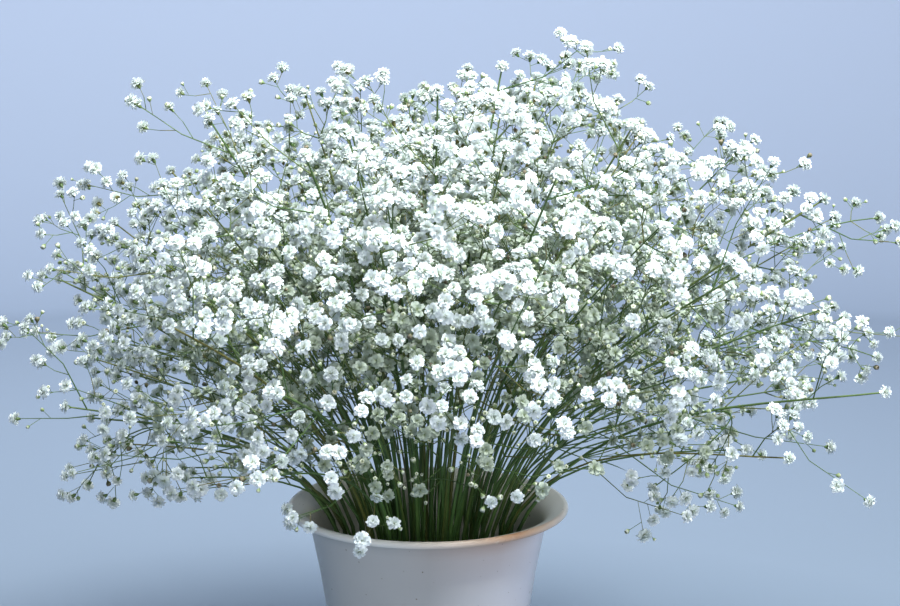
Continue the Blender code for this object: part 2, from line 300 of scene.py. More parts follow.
GOLDEN_ANGLE = math.pi * (3 - math.sqrt(5))
UP = np.array([0.0, 0.0, 1.0])
RIM_CENTRE = UP * BUCKET_HEIGHT
NECK_HEIGHT = BUCKET_HEIGHT - FLARE
NECK_RADIUS = LIP_RADIUS - FLARE

Stalk = collections.namedtuple("Stalk", "points thick tip_thick flower")
Plant = collections.namedtuple("Plant", "stalks leaves")

# What a plant carries in the second pass. A run is a length of stem, coloured from its young share at its
# foot to 1 at its end. A tip is a flower or a bud.
Run = collections.namedtuple("Run", "points thick tip_thick sides young")
Tip = collections.namedtuple("Tip", "place facing radius")


def blend(start, end, share):
    return start + (end - start) * share


def unit(vector):
    return vector / np.linalg.norm(vector)


def across(direction, turn):
    """A unit vector at right angles to direction, turned about it from the one that points most upward."""
    side = UP if abs(direction[2]) < 0.95 else np.array([1.0, 0.0, 0.0])
    first = unit(side - direction * (side @ direction))
    return first * math.cos(turn) + np.cross(direction, first) * math.sin(turn)


def tilted(direction, angle, turn):
    """The unit vector at this angle from direction, on the side that turn gives."""
    return unit(direction * math.cos(angle) + across(direction, turn) * math.sin(angle))


def point_along(points, share):
    """The point at this share of a run's length, and the direction there."""
    steps = np.diff(points, axis=0)
    lengths = np.linalg.norm(steps, axis=1)
    left = share * lengths.sum()
    for start, step, length in zip(points, steps, lengths):
        if left <= length:
            break
        left -= length
    return start + step * min(left / length, 1.0), step / length


class Space:
    """The capsules that the plants and the rim fill, each with the number of its owner."""

    def __init__(self):
        self.starts, self.ends = np.empty((0, 3)), np.empty((0, 3))
        self.radii, self.owners = np.empty(0), np.empty(0, int)

    def fill(self, points, radius, owner):
        """Takes the run of points, as thick as radius."""
        starts, ends = (points[:-1], points[1:]) if len(points) > 1 else (points, points)
        self.starts = np.vstack([self.starts, starts])
        self.ends = np.vstack([self.ends, ends])
        self.radii = np.append(self.radii, np.full(len(starts), radius))
        self.owners = np.append(self.owners, np.full(len(starts), owner))

    def gaps(self, start, end):
        """How far the surface of each capsule is from the line between start and end."""
        along, runs, apart = end - start, self.ends - self.starts, start - self.starts
        own, theirs = max(along @ along, 1e-12), np.maximum((runs * runs).sum(1), 1e-12)
        both, near, far = runs @ along, apart @ along, (runs * apart).sum(1)
        crossing = np.maximum(own * theirs - both * both, 1e-18)
        here = np.clip((both * far - near * theirs) / crossing, 0, 1)
        there = np.clip((both * here + far) / theirs, 0, 1)
        here = np.clip((both * there - near) / own, 0, 1)
        between = apart + here[:, None] * along - there[:, None] * runs
        return np.linalg.norm(between, axis=1) - self.radii

    def is_clear(self, start, end, radius, owner):
        """True if nothing of another owner comes near the capsule from start to end."""
        return bool((self.gaps(start, end)[self.owners != owner] > radius + CLEAR).all())


def widest_lean(azimuth):
    """How far from upright the outermost stems point: far to the sides, less to the front and the back."""
    depth_lean = FRONT_LEAN if math.sin(azimuth) < 0 else BACK_LEAN
    return blend(depth_lean, SIDE_LEAN, math.cos(azimuth) ** 2)


def reach(lean, azimuth):
    """The dome's radius in a direction from the middle of the rim."""
    level = blend(DEPTH_REACH, SIDE_REACH, math.cos(azimuth) ** 2) + RIGHT_MORE * math.cos(azimuth)
    return blend(TOP_REACH, level, math.sin(lean)) * (1 + SHOULDER * math.sin(2 * lean) ** 2)


def leaned(outward, lean):
    """The unit vector that leans outward from upright by this angle."""
    return outward * math.sin(lean) + UP * math.cos(lean)


def within_dome(point):
    """True if a flower may stand here: inside the dome, and above the lip."""
    x, y, z = point - RIM_CENTRE
    lean, azimuth = math.atan2(math.hypot(x, y), z), math.atan2(y, x)
    return z > LOWEST_FLOWER and math.hypot(x, y, z) < FLOWER_REACH * reach(lean, azimuth)


def arch(foot, neck, end, steps):
    """The points of the curve from the neck of the bucket out to the end of a stem."""
    toward = unit(end - RIM_CENTRE)
    lean, azimuth = math.acos(toward[2]), math.atan2(toward[1], toward[0])
    outward = np.array([math.cos(azimuth), math.sin(azimuth), 0.0])
    chord = np.linalg.norm(end - neck)
    leaving = unit(leaned(outward, lean * LEAVING_LEAN) + unit(neck - foot))
    first = neck + leaving * chord * LEAVING_PULL
    second = end - leaned(outward, lean * ARRIVING_LEAN) * chord * ARRIVING_PULL
    return [
        neck * (1 - t) ** 3 + first * 3 * t * (1 - t) ** 2 + second * 3 * t**2 * (1 - t) + end * t**3
        for t in (step / steps for step in range(1, steps + 1))
    ]


def stem_run(number, rng):
    """A stem's points: straight from the bucket's floor to its neck, then an arch out to the dome."""
    share = math.sqrt((number + 0.5) / STEMS)
    azimuth = number * GOLDEN_ANGLE
    lean = math.acos(1 - share**2 * (1 - math.cos(widest_lean(azimuth))))
    outward = np.array([math.cos(azimuth), math.sin(azimuth), 0.0])
    foot_outward = np.array([math.cos(azimuth - TWIST), math.sin(azimuth - TWIST), 0.0])
    foot = foot_outward * FOOT_SPREAD * share + UP * (FLOOR + GAP)
    neck = outward * NECK_SPREAD * share + UP * NECK_HEIGHT
    end = RIM_CENTRE + leaned(outward, lean) * reach(lean, azimuth) * rng.uniform(*STEM_REACH)
    return np.array([foot, neck, *arch(foot, neck, end, ARCH_STEPS)])


def varied(amount, rng):
    """A factor that is at most this amount away from 1."""
    return 1 + rng.uniform(-amount, amount)


def is_free(points, thick, tip, owner, space):
    """True if a twig this thick, with a tip of this radius, stays in the dome and clear of other stems."""
    if not within_dome(points[-1]) or not space.is_clear(points[-1], points[-1], tip, owner):
        return False
    return all(space.is_clear(a, b, thick, owner) for a, b in zip(points, points[1:]))


def roomiest(runs, thick, tip, owner, space):
    """The free run of points with the most room at its tip, which the space then holds, or None."""
    free = [points for points in runs if is_free(points, thick, tip, owner, space)]
    if not free:
        return None
    best = max(free, key=lambda points: space.gaps(points[-1], points[-1]).min())
    space.fill(best, thick, owner)
    space.fill(best[-1:], tip, owner)
    return best


def twig_runs(start, along, turn, length, angle, bend, rng):
    """Ways for a twig to leave its parent, all round it: a step at an angle, and one at bend times that."""
    for attempt in range(TRIES):
        way, lean = turn + attempt * GOLDEN_ANGLE, angle * varied(TRY_ANGLE_VARIES, rng)
        step = length * (1 - rng.uniform(0, TRY_SHORTER)) / 2
        middle = start + tilted(along, lean, way) * step
        yield np.array([start, middle, middle + tilted(along, lean * bend, way) * step])


def grow_branch(plant, owner, order, rng, space):
    """Grows one branch of a plant, with a pedicel if it's a low one, and with a leaf under the lowest."""
    stem, height = plant.stalks[0].points[1:], order / (BRANCHES - 1)
    place = blend(*BRANCH_SHARES, height) + rng.uniform(-BRANCH_PLACE_VARIES, BRANCH_PLACE_VARIES)
    start, along = point_along(stem, place)
    turn = owner + order * GOLDEN_ANGLE
    length = blend(BRANCH_LONG, BRANCH_SHORT, height) * varied(BRANCH_VARIES, rng)
    flower = FLOWER_RADIUS * varied(FLOWER_VARIES, rng)
    runs = twig_runs(start, along, turn, length, BRANCH_ANGLE, BRANCH_BEND, rng)
    branch = roomiest(runs, BRANCH_THICK, flower, owner, space)
    if order == 0:
        runs = twig_runs(start, along, turn + math.pi, LEAF_LENGTH, LEAF_ANGLE, LEAF_BEND, rng)
        leaf = roomiest(runs, LEAF_WIDE, LEAF_THICK, owner, space)
        plant.leaves.extend([] if leaf is None else [leaf])
    if branch is None:
        return
    plant.stalks.append(Stalk(branch, BRANCH_THICK, TWIG_TIP_THICK, flower))
    if order < PEDICELS:
        start, along = point_along(branch, PEDICEL_SHARE)
        length = PEDICEL_LENGTH * varied(PEDICEL_VARIES, rng)
        flower = FLOWER_RADIUS * varied(FLOWER_VARIES, rng)
        runs = twig_runs(start, along, turn, length, PEDICEL_ANGLE, 1.0, rng)
        pedicel = roomiest(runs, PEDICEL_THICK, flower, owner, space)
        if pedicel is not None:
            plant.stalks.append(Stalk(pedicel[::2], PEDICEL_THICK, TWIG_TIP_THICK, flower))


def grow_bunch():
    """Every plant of the bunch, each clear of the others and of the lip."""
    space = Space()
    rim = [i * math.tau / BUCKET_SIDES for i in range(BUCKET_SIDES + 1)]
    rim_points = np.array([[math.cos(a), math.sin(a), 0.0] for a in rim]) * LIP_RADIUS + RIM_CENTRE
    space.fill(rim_points, LIP_THICK, -1)
    bunch, rngs = [], [random.Random(SEED + number) for number in range(STEMS)]
    for number, rng in enumerate(rngs):
        points, flower = stem_run(number, rng), FLOWER_RADIUS * varied(FLOWER_VARIES, rng)
        bunch.append(Plant([Stalk(points, FOOT_THICK, TIP_THICK, flower)], []))
        space.fill(points, FOOT_THICK, number)
        space.fill(points[-1:], flower, number)
    for order in range(BRANCHES):
        for number, rng in enumerate(rngs):
            grow_branch(bunch[number], number, order, rng, space)
    return bunch


def depth_share(point):
    """How far out a place is, as a share of the dome's reach, or infinity below the dome's skirt."""
    x, y, z = point - RIM_CENTRE
    if z < SKIRT_LOW + SKIRT_RISE * max(0.0, math.hypot(x, y) - LIP_RADIUS):
        return math.inf
    return math.hypot(x, y, z) / reach(math.atan2(math.hypot(x, y), z), math.atan2(y, x))


def fullness(place):
    """The share of twigs that grow at a place: fewer low down, where the stems show between the flowers."""
    return blend(LOW_FULLNESS, 1.0, min(max((place[2] - BUCKET_HEIGHT) / FULL_HEIGHT, 0.0), 1.0))


class Blossoming:
    """The places that flowers take, so that no two stand in the same place."""

    def __init__(self):
        self.cells = collections.defaultdict(list)

    def is_free(self, place):
        """True if no flower stands too near this place."""
        home = np.floor(place / FLOWER_APART).astype(int)
        for step in np.ndindex(3, 3, 3):
            for other in self.cells.get(tuple(home + np.array(step) - 1), ()):
                if np.linalg.norm(other - place) < FLOWER_APART:
                    return False
        return True

    def take(self, place):
        """Holds this place for a flower."""
        self.cells[tuple(np.floor(place / FLOWER_APART).astype(int))].append(place)


class Dressing:
    """One plant's fine growth: its runs of stem, its leaves, its flowers and its buds."""

    def __init__(self, number, taken):
        self.rng = random.Random(SEED + STEMS + number)
        self.taken = taken
        self.runs, self.leaves, self.flowers, self.buds = [], [], [], []

    def facing(self, place, along):
        """The way that a flower looks: along its stalk, and outward from the bunch."""
        return unit(along + unit(place - RIM_CENTRE) * FACING_OUT)

    def add_flower(self, place, along, radius):
        self.taken.take(place)
        self.flowers.append(Tip(place, self.facing(place, along), radius))

    def add_bud(self, place, along):
        self.buds.append(Tip(place, along, BUD_RADIUS * varied(BUD_VARIES, self.rng)))

    def is_open(self, place):
        """True if a flower may open here. Low down inside the bunch, most tips stay buds."""
        hidden = depth_share(place) < DEEP and self.rng.random() > fullness(place)
        return not hidden and self.taken.is_free(place)

    def add_tip(self, start, place, along, thick, flower):
        """A stalk and what it ends in: a flower where there's room for it, or else a bud."""
        if flower and self.is_open(place):
            radius = FLOWER_RADIUS * varied(FLOWER_VARIES, self.rng)
            self.add_flower(place, along, radius)
            place = place - self.facing(place, along) * radius * CUP_DEPTH
        else:
            self.add_bud(place, along)
        self.runs.append(Run(np.array([start, place]), thick, thick, TWIG_SIDES, 1.0))

    def add_cyme(self, points):
        """The end of a twig: stalks on both sides, which carry flowers or buds."""
        turn = self.rng.uniform(0, math.pi)
        for side in (0, math.pi):
            kind = self.rng.random()
            if kind > FLOWERS_AT_SIDE + BUDS_AT_SIDE:
                continue
            start, along = point_along(points, self.rng.uniform(*CYME_SHARES))
            way = tilted(along, CYME_ANGLE * varied(CYME_ANGLE_VARIES, self.rng), turn + side)
            place = start + way * CYME_LENGTH * varied(CYME_VARIES, self.rng)
            self.add_tip(start, place, way, STALK_THICK, kind < FLOWERS_AT_SIDE)

    def add_sprig(self, parent, share, turn, limit):
        """A twig off a branch, with a flower at its end and a cyme round it."""
        start, along = point_along(parent, share)
        angle = SPRIG_ANGLE * varied(SPRIG_ANGLE_VARIES, self.rng)
        length = SPRIG_LENGTH * varied(SPRIG_VARIES, self.rng)
        points = next(twig_runs(start, along, turn, length, angle, SPRIG_BEND, self.rng))
        if not DEEPEST < depth_share(points[-1]) < limit or self.rng.random() > fullness(points[-1]):
            return
        self.runs.append(Run(points[:2], SPRIG_THICK, SPRIG_THICK, TWIG_SIDES, SPRIG_YOUNG))
        self.add_tip(points[1], points[2], unit(points[2] - points[1]), SPRIG_THICK * SPRIG_TIP, True)
        self.add_cyme(points)

    def add_branch(self, points, limit=FINE_REACH):
        """A branch's own twigs, where they stay within the limit, and its cyme."""
        turn = self.rng.uniform(0, math.pi)
        for order, share in enumerate(SPRIG_SHARES):
            self.add_sprig(points, share, turn + order * GOLDEN_ANGLE, limit)
        self.add_cyme(points)

    def grow_branches(self, stem, shares, lengths):
        """Pairs of branches along a stem, from the first of two lengths to the second."""
        turn = self.rng.uniform(0, math.tau)
        for order, share in enumerate(shares):
            for side in (0, math.pi):
                start, along = point_along(stem, share)
                length = blend(*lengths, order / (len(shares) - 1)) * varied(PAIR_VARIES, self.rng)
                way = turn + order * math.pi / 2 + side
                angle = BRANCH_ANGLE * varied(PAIR_ANGLE_VARIES, self.rng)
                runs = twig_runs(start, along, way, length, angle, BRANCH_BEND, self.rng)
                points = next((run for run in runs if depth_share(run[-1]) < FINE_REACH), None)
                if points is None or self.rng.random() > fullness(points[-1]):
                    continue
                self.runs.append(Run(points[:2], FORK_THICK, FORK_TIP_THICK, FORK_SIDES, FORK_YOUNG))
                self.add_tip(points[1], points[2], unit(points[2] - points[1]), FORK_TIP_THICK, True)
                self.add_branch(points)

    def grow_shoot(self, stem, turn, spread, reached):
        """A side shoot, which leaves the stem inside the bucket and arches out beside it."""
        foot, neck, end = stem[0], stem[1], stem[-1]
        toward, distance = unit(end - RIM_CENTRE), np.linalg.norm(end - RIM_CENTRE)
        way = tilted(toward, spread * varied(SPREAD_VARIES, self.rng), turn)
        own_end = RIM_CENTRE + way * distance * reached
        own_end[2] = max(own_end[2], BUCKET_HEIGHT + SHOOT_LOWEST)
        sideways = own_end - end
        sideways[2] = 0
        own_neck = neck + unit(sideways) * SHOOT_OFFSET
        own_neck[:2] *= min(1.0, WIDEST_NECK / math.hypot(own_neck[0], own_neck[1]))
        rise = SHOOT_HEIGHT + self.rng.uniform(-SHOOT_HEIGHT_VARIES, SHOOT_HEIGHT_VARIES)
        start = blend(foot, neck, rise / NECK_HEIGHT)
        points = np.array([start, own_neck, *arch(start, own_neck, own_end, SHOOT_STEPS)])
        self.runs.append(Run(points, SHOOT_THICK, SHOOT_TIP_THICK, SHOOT_SIDES, SHOOT_YOUNG))
        self.add_flower(points[-1], unit(points[-1] - points[-2]), FLOWER_RADIUS)
        self.grow_branches(points[1:], SHOOT_SHARES, SHOOT_BRANCHES)

    def grow_stray(self, stem, end):
        """A thin branch that leaves the dome, or droops, to an end of its own."""
        start, along = point_along(stem, STRAY_START)
        middle = start + along * np.linalg.norm(end - start) * STRAY_RISE
        points = curved((start, middle, end), STRAY_STEPS)
        self.runs.append(Run(points, FORK_THICK, FORK_TIP_THICK, FORK_SIDES, STRAY_YOUNG))
        self.add_flower(points[-1], unit(points[-1] - points[-2]), FLOWER_RADIUS)
        self.add_cyme(points)
        turn = self.rng.uniform(0, math.tau)
        for order, share in enumerate(STRAY_SHARES):
            for side in (0, math.pi):
                start, along = point_along(points, share)
                way = turn + order * math.pi / 2 + side
                length = STRAY_TWIG * varied(STRAY_TWIG_VARIES, self.rng)
                twig = next(twig_runs(start, along, way, length, BRANCH_ANGLE, BRANCH_BEND, self.rng))
                self.runs.append(Run(twig[:2], FORK_TIP_THICK, SPRIG_THICK, TWIG_SIDES, TWIG_YOUNG))
                self.add_tip(twig[1], twig[2], unit(twig[2] - twig[1]), SPRIG_THICK, True)
                self.add_cyme(twig)

    def dress(self, plant):
        """The plant of the first pass, with everything that the second pass adds to it."""
        stem = plant.stalks[0].points
        straight = [blend(stem[0], stem[1], step / FOOT_STEPS) for step in range(FOOT_STEPS + 1)]
        fine = np.array([*straight, *arch(stem[0], stem[1], stem[-1], STEM_STEPS)])
        self.runs.append(Run(fine, FOOT_THICK, TIP_THICK, STEM_SIDES, 0.0))
        for stalk in plant.stalks:
            self.add_flower(stalk.points[-1], unit(stalk.points[-1] - stalk.points[-2]), stalk.flower)
        for stalk in plant.stalks[1:]:
            if len(stalk.points) > 2:
                self.runs.append(Run(stalk.points, FORK_THICK, STALK_THICK, FORK_SIDES, FORK_YOUNG))
                self.add_branch(stalk.points, OWN_REACH)
            else:
                self.runs.append(Run(stalk.points, STALK_THICK, STALK_THICK, TWIG_SIDES, FORK_YOUNG))
                self.add_cyme(stalk.points)
        self.leaves.extend(plant.leaves)
        self.grow_branches(fine[FOOT_STEPS:], OPPOSITE_SHARES, OPPOSITE_BRANCHES)
        for turn, spread, reached in SHOOTS:
            turn += self.rng.uniform(-SHOOT_TURN_VARIES, SHOOT_TURN_VARIES)
            self.grow_shoot(stem, turn, spread, reached)


def curved(corners, steps):
    """The points of the curve from the first of three corners to the last, drawn towards the middle one."""
    start, middle, end = corners
    return np.array([
        start * (1 - t) ** 2 + middle * 2 * t * (1 - t) + end * t**2 for t in np.linspace(0, 1, steps + 1)
    ])


class Shape:
    """A mesh in the making: triangles, with two values at each point for the materials to read."""

    def __init__(self):
        self.points, self.faces, self.kinds, self.along, self.tone = [], [], [], [], []
        self.count = 0

    def add(self, points, faces, along, tone, kind=0):
        """Takes triangles and their points, with two values for the points and the number of a material."""
        self.faces.append(faces + self.count)
        self.points.append(points)
        self.kinds.append(np.full(len(faces), kind))
        self.along.append(np.broadcast_to(along, len(points)))
        self.tone.append(np.full(len(points), tone))
        self.count += len(points)

    def make(self, name, materials):
        """The mesh as an object of the scene."""
        data = bpy.data.meshes.new(name)
        data.from_pydata(np.vstack(self.points).tolist(), [], np.vstack(self.faces).tolist())
        for label, values in (("along", self.along), ("tone", self.tone)):
            data.attributes.new(label, "FLOAT", "POINT").data.foreach_set("value", np.concatenate(values))
        data.polygons.foreach_set("material_index", np.concatenate(self.kinds).astype(np.int32))
        data.shade_smooth()
        for material in materials:
            data.materials.append(material)
        made = bpy.data.objects.new(name, data)
        bpy.context.scene.collection.objects.link(made)
        return made


def cross_frames(points):
    """Two unit vectors across the run at each of its points, carried along it without a twist."""
    steps = np.diff(points, axis=0)
    steps /= np.linalg.norm(steps, axis=1)[:, None]
    alongs = [steps[0], *(unit(a + b) for a, b in zip(steps, steps[1:])), steps[-1]]
    side, frames = across(alongs[0], 0.0), []
    for along in alongs:
        side = unit(side - along * (side @ along))
        frames.append((side, np.cross(along, side)))
    return frames


def tube_faces(rings, sides):
    """The triangles between rings of vertices that follow one another."""
    faces = []
    for low in range(0, (rings - 1) * sides, sides):
        for i in range(sides):
            j = (i + 1) % sides
            faces.append((low + i, low + j, low + sides + j))
            faces.append((low + i, low + sides + j, low + sides + i))
    return np.array(faces)


def add_tube(shape, run, tone):
    """A tapered tube along a run."""
    turns = np.arange(run.sides) * math.tau / run.sides
    shares = np.linspace(0, 1, len(run.points))
    rings = []
    for point, (a, b), share in zip(run.points, cross_frames(run.points), shares):
        circle = np.outer(np.cos(turns), a) + np.outer(np.sin(turns), b)
        rings.append(point + circle * blend(run.thick, run.tip_thick, share))
    along = blend(run.young, 1.0, np.repeat(shares, run.sides))
    shape.add(np.vstack(rings), tube_faces(len(rings), run.sides), along, tone)


def add_leaf(shape, points, tone):
    """A narrow blade with a midrib, which widens quickly from its foot and tapers to its tip."""
    curve = curved(points, LEAF_STEPS)
    rows = []
    for point, (up, side), t in zip(curve, cross_frames(curve), np.linspace(0, 1, LEAF_STEPS + 1)):
        wide = LEAF_WIDE * (t + LEAF_FOOT) ** 0.5 * (1 - t**LEAF_TAPER) * LEAF_FULL + LEAF_EDGE
        edge = up * wide * LEAF_KEEL
        rows.append([point - side * wide + edge, point, point + side * wide + edge])
    faces = []
    for low in range(0, 3 * LEAF_STEPS, 3):
        for i in (low, low + 1):
            faces += [(i, i + 1, i + 4), (i, i + 4, i + 3)]
    shape.add(np.vstack(rows), np.array(faces), LEAF_YOUNG, tone)


def petal(tilt, length, width, turn, rng):
    """One petal's points and triangles: a root, a cupped middle row, and a blunt tip."""
    points = [(0.0, 0.0), *((side * width / 2, length * PETAL_SHOULDER) for side in (-1, 0, 1))]
    points += [(side * width * PETAL_TIP, length) for side in (-1, 1)]
    corners, cos, sin = [], math.cos(turn), math.sin(turn)
    for x, y in points:
        share = y / length
        ruffle = RUFFLE * (share > RUFFLED_FROM)
        bend = math.radians(tilt + PETAL_CURL * share - PETAL_CURL / 2) + rng.uniform(-ruffle, ruffle)
        lift = PETAL_CUP * (x / width) ** 2 * width + rng.uniform(-ruffle, ruffle) / 2
        out = y * math.sin(bend) - lift * math.cos(bend)
        up = y * math.cos(bend) + lift * math.sin(bend)
        corners.append((out * cos - x * sin, out * sin + x * cos, up))
    faces = [(0, 2, 1), (0, 3, 2), (1, 2, 4), (2, 5, 4), (2, 3, 5)]
    return np.array(corners), np.array(faces), np.array([y for _, y in points])


def flower_kind(whorls, rng):
    """A double flower of radius 1 that looks up +Z: its points, triangles, and how far out each point is."""
    points, faces, along, count = [], [], [], 0
    opened = rng.uniform(*OPENED)
    for petals, tilt, length, width in whorls:
        start = rng.uniform(0, math.tau)
        for number in range(petals):
            turn = start + number * math.tau / petals + rng.uniform(-PETAL_TURN_VARIES, PETAL_TURN_VARIES)
            size = rng.uniform(*PETAL_SIZES)
            own_tilt = tilt * opened + rng.uniform(-PETAL_TILT_VARIES, PETAL_TILT_VARIES)
            made = petal(own_tilt, length * size, width * size, turn, rng)
            points.append(made[0])
            faces.append(made[1] + count)
            along.append(made[2])
            count += len(made[0])
    return np.vstack(points), np.vstack(faces), np.concatenate(along)


def turned_shape(profile, sides):
    """The points and triangles of a body turned about Z from (radius, height) pairs."""
    turns = np.arange(sides) * math.tau / sides
    rings = [np.column_stack([np.cos(turns) * r, np.sin(turns) * r, np.full(sides, z)]) for r, z in profile]
    return np.vstack(rings), tube_faces(len(profile), sides)


def placed(points, tip, turn):
    """A shape of radius 1 that looks up +Z, put where a tip is and turned to face its way."""
    first = across(tip.facing, turn)
    axes = np.array([first, np.cross(tip.facing, first), tip.facing])
    return points @ axes * tip.radius + tip.place


def build_plant(name, dressing, kinds, materials):
    """A plant's two pieces: its green parts, and its flowers and buds."""
    rng = dressing.rng
    tone = rng.random()
    greens, blooms = Shape(), Shape()
    for run in dressing.runs:
        add_tube(greens, run, rng.random())
    for points in dressing.leaves:
        add_leaf(greens, points, tone)
    cup_points, cup_faces = turned_shape(CUP, TIP_SIDES)
    bud_points, bud_faces = turned_shape(BUD, TIP_SIDES)
    bud_along = np.repeat(BUD_SHADES, TIP_SIDES)
    for tip in dressing.flowers:
        deep = depth_share(tip.place) < DEEP
        points, faces, along = kinds[deep][rng.randrange(FLOWER_KINDS)]
        turn, shade = rng.uniform(0, math.tau), rng.random()
        # Painted shade: a deep flower is darkened, the more so the lower it stands. The others vary at random
        # from pale to white.
        shade = shade * DEEPEST_SHADE * fullness(tip.place) if deep else blend(WHITE_SHADE, 1.0, shade)
        blooms.add(placed(points, tip, turn), faces, along, shade)
        if not deep:
            greens.add(placed(cup_points, tip, turn), cup_faces, 1.0, tone)
    for tip in dressing.buds:
        blooms.add(placed(bud_points, tip, 0.0), bud_faces, bud_along, rng.random(), 1)
    green = greens.make(f"{name}_greens", [materials["green"]])
    bloom = blooms.make(f"{name}_blooms", [materials["petal"], materials["bud"]])
    return green, bloom


def wall_radius(height, inset):
    """The bucket's radius at a height of its tapered wall, less inset."""
    return blend(BASE_RADIUS, NECK_RADIUS, height / NECK_HEIGHT) - inset


def build_bucket(material):
    """The bucket, with a flare and a rolled lip. Its points hold their painted shade and tint, and their
    stain.
    """
    quarter, half = np.linspace(0, math.pi / 2, FLARE_STEPS + 1), np.linspace(0, math.pi, FLARE_STEPS + 1)
    inner, outer = FLARE + WALL / 2, FLARE - WALL / 2
    inside = [(LIP_RADIUS - inner * math.cos(a), NECK_HEIGHT + inner * math.sin(a)) for a in quarter[:-1]]
    outside = [(LIP_RADIUS - outer * math.cos(a), NECK_HEIGHT + outer * math.sin(a)) for a in quarter[-2::-1]]
    top = BUCKET_HEIGHT + WALL / 2
    roll_radius, roll_height = LIP_RADIUS - LIP_ROLL, top - LIP_ROLL
    lip = [(roll_radius + LIP_ROLL * math.sin(a), roll_height + LIP_ROLL * math.cos(a)) for a in half]
    foot = [
        (BASE_RADIUS - BASE_ROUND * (1 - math.sin(a)), BASE_ROUND * (1 - math.cos(a))) for a in quarter[::-2]
    ]
    heights = np.linspace(FLOOR, NECK_HEIGHT, WALL_STEPS + 1)[:-1]
    profile = [
        (PINHOLE, FLOOR),
        *((wall_radius(height, WALL), height) for height in heights),
        *inside,
        *lip,
        *outside,
        *((wall_radius(height, 0.0), height) for height in heights[:0:-1]),
        *foot,
        (PINHOLE, 0.0),
    ]
    points, faces = turned_shape(profile, SHELL_SIDES)
    row, turn = np.arange(len(points)) // SHELL_SIDES, np.arctan2(points[:, 1], points[:, 0])
    inner_rows = 1 + len(heights) + len(inside)
    within, lipped = row < inner_rows, (row >= inner_rows) & (row < inner_rows + len(lip))
    # Painted shade: away from the lit side the outer wall turns grey and beige; the inside and the lip get a
    # beige tint.
    shade_and_tint = np.where(within, WALL_SHADE_AND_TINT, WALL_SHADE_AND_TINT * np.abs(np.sin((turn - LIT_SIDE_TURN) / 2)))
    shade_and_tint[lipped] = LIP_TINT
    beside = np.clip(1 - np.abs(turn - STAIN_TURN) / STAIN_SPREAD, 0, 1)
    below = np.clip(1 - (top - points[:, 2]) / STAIN_DROP, 0, 1) * ~within
    shell = Shape()
    shell.add(points, faces, shade_and_tint, beside * below)
    piece = shell.make("bucket_shell", [material])
    piece.data.set_sharp_from_angle(angle=SHARP_ANGLE)
    return piece


class Nodes:
    """A new material, and short calls for the nodes that it needs."""

    def __init__(self, name):
        self.material = bpy.data.materials.new(name)
        self.material.use_nodes = True
        self.tree = self.material.node_tree
        self.shader = self.tree.nodes["Principled BSDF"]
        self.output = self.tree.nodes["Material Output"]

    def link(self, source, target):
        self.tree.links.new(source, target)

    def add(self, kind, **settings):
        node = self.tree.nodes.new(kind)
        for setting, value in settings.items():
            setattr(node, setting, value)
        return node

    def value(self, name):
        """A value that the mesh holds at each point."""
        return self.add("ShaderNodeAttribute", attribute_type="GEOMETRY", attribute_name=name).outputs["Fac"]

    def noise(self, scale, detail=3.0, roughness=0.5, stretch=(1, 1, 1)):
        place = self.add("ShaderNodeTexCoord").outputs["Object"]
        mapping = self.add("ShaderNodeMapping")
        mapping.inputs["Scale"].default_value = stretch
        self.link(place, mapping.inputs["Vector"])
        node = self.add("ShaderNodeTexNoise")
        node.inputs["Scale"].default_value = scale
        node.inputs["Detail"].default_value = detail
        node.inputs["Roughness"].default_value = roughness
        self.link(mapping.outputs["Vector"], node.inputs["Vector"])
        return node.outputs["Fac"]

    def ramp(self, source, *stops):
        """A colour for each value of source, from (place, colour) stops."""
        node = self.add("ShaderNodeValToRGB")
        for _ in stops[2:]:
            node.color_ramp.elements.new(0.5)
        for element, (place, colour) in zip(node.color_ramp.elements, stops):
            element.position, element.color = place, (*colour, 1.0)
        self.link(source, node.inputs["Fac"])
        return node.outputs["Color"]

    def mix(self, factor, first, second, blend_type="MIX"):
        """Two colours mixed. On this node they are sockets 6 and 7, and the result is output 2."""
        node = self.add("ShaderNodeMix", data_type="RGBA", blend_type=blend_type)
        for value, socket in ((factor, 0), (first, 6), (second, 7)):
            if isinstance(value, (int, float)):
                node.inputs[socket].default_value = value
            elif isinstance(value, tuple):
                node.inputs[socket].default_value = (*value, 1.0)
            else:
                self.link(value, node.inputs[socket])
        return node.outputs[2]

    def bump(self, height, strength, distance):
        node = self.add("ShaderNodeBump")
        node.inputs["Strength"].default_value = strength
        node.inputs["Distance"].default_value = distance
        self.link(height, node.inputs["Height"])
        self.link(node.outputs["Normal"], self.shader.inputs["Normal"])

    def finish(self, colour, roughness, translucent=0.0):
        """The material with this colour. The translucent share of its light comes through from behind."""
        self.link(colour, self.shader.inputs["Base Color"])
        self.shader.inputs["Roughness"].default_value = roughness
        if translucent:
            glow = self.add("ShaderNodeBsdfTranslucent")
            self.link(colour, glow.inputs["Color"])
            both = self.add("ShaderNodeMixShader")
            both.inputs[0].default_value = translucent
            self.link(self.shader.outputs["BSDF"], both.inputs[1])
            self.link(glow.outputs["BSDF"], both.inputs[2])
            self.link(both.outputs["Shader"], self.output.inputs["Surface"])
        return self.material


